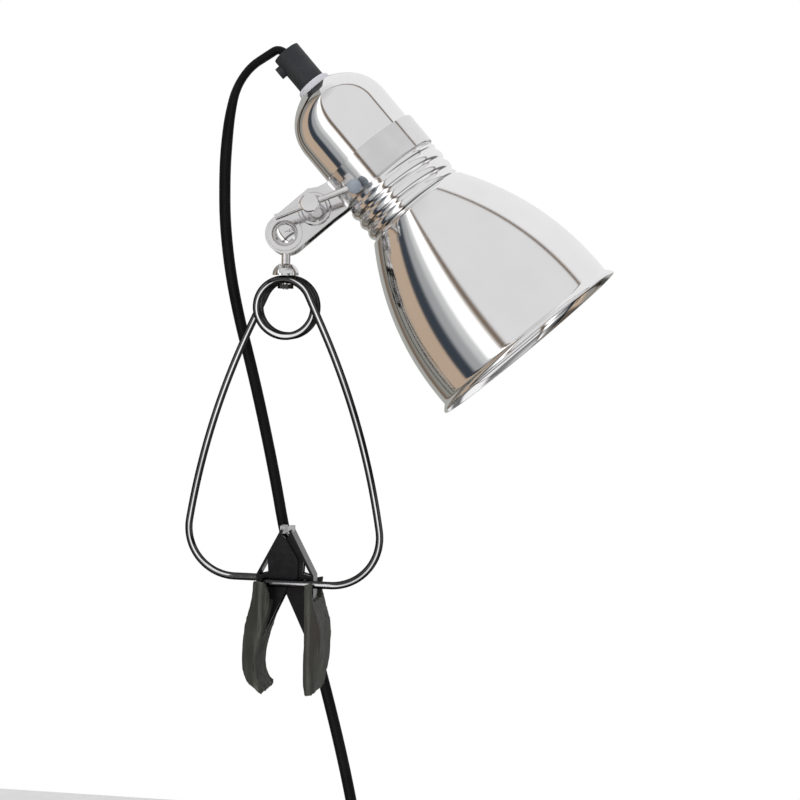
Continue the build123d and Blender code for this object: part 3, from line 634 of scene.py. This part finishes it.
def moulded_grip(side):
    """The grip as soft moulded rubber: rounded edges, lengthwise waves and a ragged end."""
    source = nodes["grip_" + side]
    mesh = source.data.copy()
    mesh.transform(source.matrix_world)
    bm = bmesh.new()
    bm.from_mesh(mesh)
    bmesh.ops.remove_doubles(bm, verts=bm.verts, dist=0.01 * MM)
    bm.to_mesh(mesh)
    bm.free()
    rough = D.objects.new("rough_grip", mesh)
    scene.collection.objects.link(rough)
    remesh = rough.modifiers.new("even", "REMESH")
    remesh.mode, remesh.voxel_size = "VOXEL", GRIP_VOXEL * MM
    even = D.meshes.new_from_object(rough.evaluated_get(bpy.context.evaluated_depsgraph_get()))
    D.objects.remove(rough)
    even.name = "moulded_grip_" + side
    for vertex in even.vertices:
        x, y, z = vertex.co / MM
        where = Vector((x * 0.9, y * 0.9, z * 0.07))
        wave = noise.noise(where) * 0.26 + noise.noise(where * 2.3) * 0.16
        low = max(0.0, min(1.0, (RAGGED_FROM - z) / RAGGED_OVER))
        lift = low * (0.9 + 0.9 * noise.noise(Vector((x * 0.55, y * 0.35, 3.0))))
        vertex.co += (vertex.normal * (wave - WAVE_INSET) + Vector((0, 0, lift))) * MM
    even.polygons.foreach_set("use_smooth", [True] * len(even.polygons))
    even.materials.clear()
    even.materials.append(grip_rubber)
    grip = D.objects.new("moulded_grip_" + side, even)
    scene.collection.objects.link(grip)
    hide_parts("grip_" + side)
    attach(grip, "jaw_" + side)


moulded_grip("right")
moulded_grip("left")

# ---- carried-over CAD nodes ------------------------------------------------------------
finishes = {
    "strap": plate_metal,
    "ball_stud": plate_metal,
    "stud_cup": plate_metal,
    "stud_nut": painted_shade_steel,
    "clamp_nut": plate_metal,
    "thumb_screw": plate_metal,
    "thumb_bar": plate_metal,
    "thumb_knob": knob_plastic,
    "cap_collar": collar_plastic,
    "cord_gland": gland_plastic,
    "gland_screw": steel_metal,
    "threaded_nipple": steel_metal,
    "lock_nut": steel_metal,
    "holder_body": porcelain,
    "holder_ring": porcelain,
    "screw_shell": brass_metal,
    "centre_contact": brass_metal,
    "terminal_screws": brass_metal,
    "inner_leads": copper_lead,
    "bulb_base": bulb_metal,
    "bulb_glass": bulb_glass,
    "jaw_right": jaw_paint,
    "jaw_left": jaw_paint,
    "apex_cap_right": steel_metal,
    "apex_cap_left": steel_metal,
    "cord_tie": tie_plastic,
    "plug_body": plug_rubber,
    "plug_pins": pin_metal,
}
for node, material in finishes.items():
    mesh = nodes[node].data
    mesh.materials.clear()
    mesh.materials.append(material)

# ---- studio -------------------------------------------------------------------------


def studio_world():
    """A soft white studio laid out round the head's axis, with a warm wall and dark gaps."""
    world = D.worlds.new("studio")
    scene.world = world
    world.use_nodes = True
    tree = world.node_tree
    tree.nodes.clear()

    def add(kind, inputs=(), **settings):
        node = tree.nodes.new("ShaderNode" + kind)
        for key, value in settings.items():
            setattr(node, key, value)
        for key, value in dict(inputs).items():
            if isinstance(value, bpy.types.NodeSocket):
                tree.links.new(value, node.inputs[key])
            else:
                node.inputs[key].default_value = value
        return node

    def ramp(value, stops):
        node = add("ValToRGB", {"Fac": value})
        band = node.color_ramp.elements
        while len(band) < len(stops):
            band.new(0.5)
        for element, (position, colour) in zip(band, stops):
            element.position = position
            element.color = (*colour, 1.0)
        return node.outputs["Color"]

    where = add("TexCoord").outputs["Generated"]


    def along(direction):
        return add("VectorMath", {0: where, 1: tuple(direction)}, operation="DOT_PRODUCT").outputs["Value"]

    beside = FRONT.cross(AXIS)
    azimuth = add("Math", {0: along(beside), 1: along(FRONT)}, operation="ARCTAN2").outputs[0]
    share = add("MapRange", {"Value": azimuth, "From Min": -math.pi, "From Max": math.pi}).outputs["Result"]
    white, pale, soft = (2.0, 2.0, 2.0), (0.36, 0.37, 0.38), (0.60, 0.61, 0.61)
    tan, dark, line = (0.50, 0.385, 0.29), (0.04, 0.05, 0.065), (0.17, 0.125, 0.09)
    left_edge, olive = (0.40, 0.40, 0.38), (0.27, 0.265, 0.24)
    panel, rim = (0.76, 0.76, 0.77), (0.86, 0.86, 0.87)
    stops = []
    for degrees_from, degrees_to, colour in (
        (-180, -142, left_edge),
        (-138, -134, line),
        (-126, -112, olive),
        (-102, -80, tan),
        (-77, -65, dark),
        (-60, -52, pale),
        (-46, -42, soft),
        (-31, -27, white),
        (-19, -15, line),
        (-12, 95, panel),
        (97, 99, line),
        (102, 180, rim),
    ):
        stops.append(((degrees_from + 180) / 360, colour))
        stops.append(((degrees_to + 180) / 360, colour))
    wall = ramp(share, stops)
    # Lines across the head's axis: they show on the thread, the ball and the mouth.
    lengthwise = add("MapRange", {"Value": along(AXIS), "From Min": -1.0, "From Max": 1.0}).outputs["Result"]
    crossing = ramp(lengthwise, [
        (level / 2 + 0.5, (shade, shade, shade))
        for level, shade in (
            (-1.0, 0.8), (-0.9, 1.0), (0.26, 1.0), (0.34, 0.22), (0.5, 0.16), (0.56, 1.15),
            (0.78, 1.15), (0.84, 0.25), (0.93, 0.3), (1.0, 0.9),
        )
    ])
    whole = add("Mix", {"Factor": 1.0, "A": wall, "B": crossing}, data_type="RGBA", blend_type="MULTIPLY")
    lit = add("Background", {"Color": whole.outputs["Result"], "Strength": 1.0})
    plain = add("Background", {"Color": (1.0, 1.0, 1.0, 1.0), "Strength": 1.0})
    seen = add("LightPath").outputs["Is Camera Ray"]
    both = add("MixShader", {0: seen, 1: lit.outputs[0], 2: plain.outputs[0]})
    add("OutputWorld", {"Surface": both.outputs[0]})


studio_world()
FLOOR_HALF, FLOOR_Z = 900, -300
floor_corners = [(x * FLOOR_HALF, y * FLOOR_HALF, FLOOR_Z) for x, y in ((-1, -1), (1, -1), (1, 1), (-1, 1))]
floor_paint = plastic("pale_floor", (0.86, 0.86, 0.86), (0.9, 0.9, 0.9), (0.8, 0.9), 30.0)
floor = piece("floor", floor_corners, [(0, 1, 2, 3)], floor_paint, smooth=False)
floor.visible_glossy = False


LAMP_MIDDLE = Vector((20, 0, 150))


def softbox(name, where, size, power):
    data = D.lights.new(name, "AREA")
    data.shape, data.energy = "RECTANGLE", power
    data.size, data.size_y = size[0] * MM, size[1] * MM
    lamp = D.objects.new(name, data)
    scene.collection.objects.link(lamp)
    lamp.location = Vector(where) * MM
    lamp.visible_glossy = False
    lamp.rotation_euler = (Vector(where) - LAMP_MIDDLE).to_track_quat("Z", "Y").to_euler()
    return lamp


softbox("key", (-500, -900, 800), (300, 900), 3.0)
softbox("fill", (900, -500, 500), (500, 900), 1.5)
softbox("top", (0, 100, 1100), (900, 500), 1.5)
# A tall softbox beside the camera that only the wire mirrors, as its long bright line.
wires = D.collections.new("wires")
for side in ("right", "left"):
    wires.objects.link(D.objects["wire_" + side])
strip = softbox("wire_line", (150, -1350, 250), (950, 2600), 90.0)
strip.visible_glossy = True
strip.visible_camera = False
strip.light_linking.receiver_collection = wires
scene.view_settings.view_transform = "Standard"
